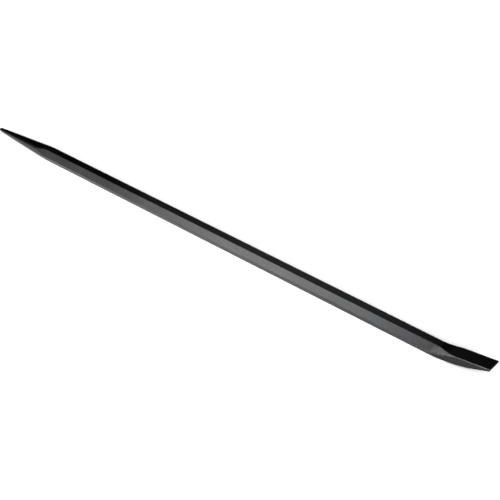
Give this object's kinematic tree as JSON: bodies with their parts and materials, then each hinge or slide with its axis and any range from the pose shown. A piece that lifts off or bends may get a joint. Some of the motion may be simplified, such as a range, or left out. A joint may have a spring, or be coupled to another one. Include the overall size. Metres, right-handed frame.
{
  "type": "pry bar",
  "caption": "Long one-piece steel pry bar of hexagonal section with a round tapered drift point at one end and a turned-up flat chisel at the other.",
  "frame": {"origin": "centre of the bounding box in X and Y, on the plane of the lower flat the bar rests on", "axes": "+X along the bar from the drift point to the chisel edge, +Z out of the upper flat, the side the chisel turns up to; the bar mirrors across the XZ plane"},
  "size_m": [0.9144, 0.0236, 0.0274],
  "materials": {
    "forged_steel": "satin black oxide on forged steel"
  },
  "bodies": {
    "root": {"drift_point": "forged_steel", "hex_shank": "forged_steel", "chisel_blade": "forged_steel"}
  },
  "joints": []
}
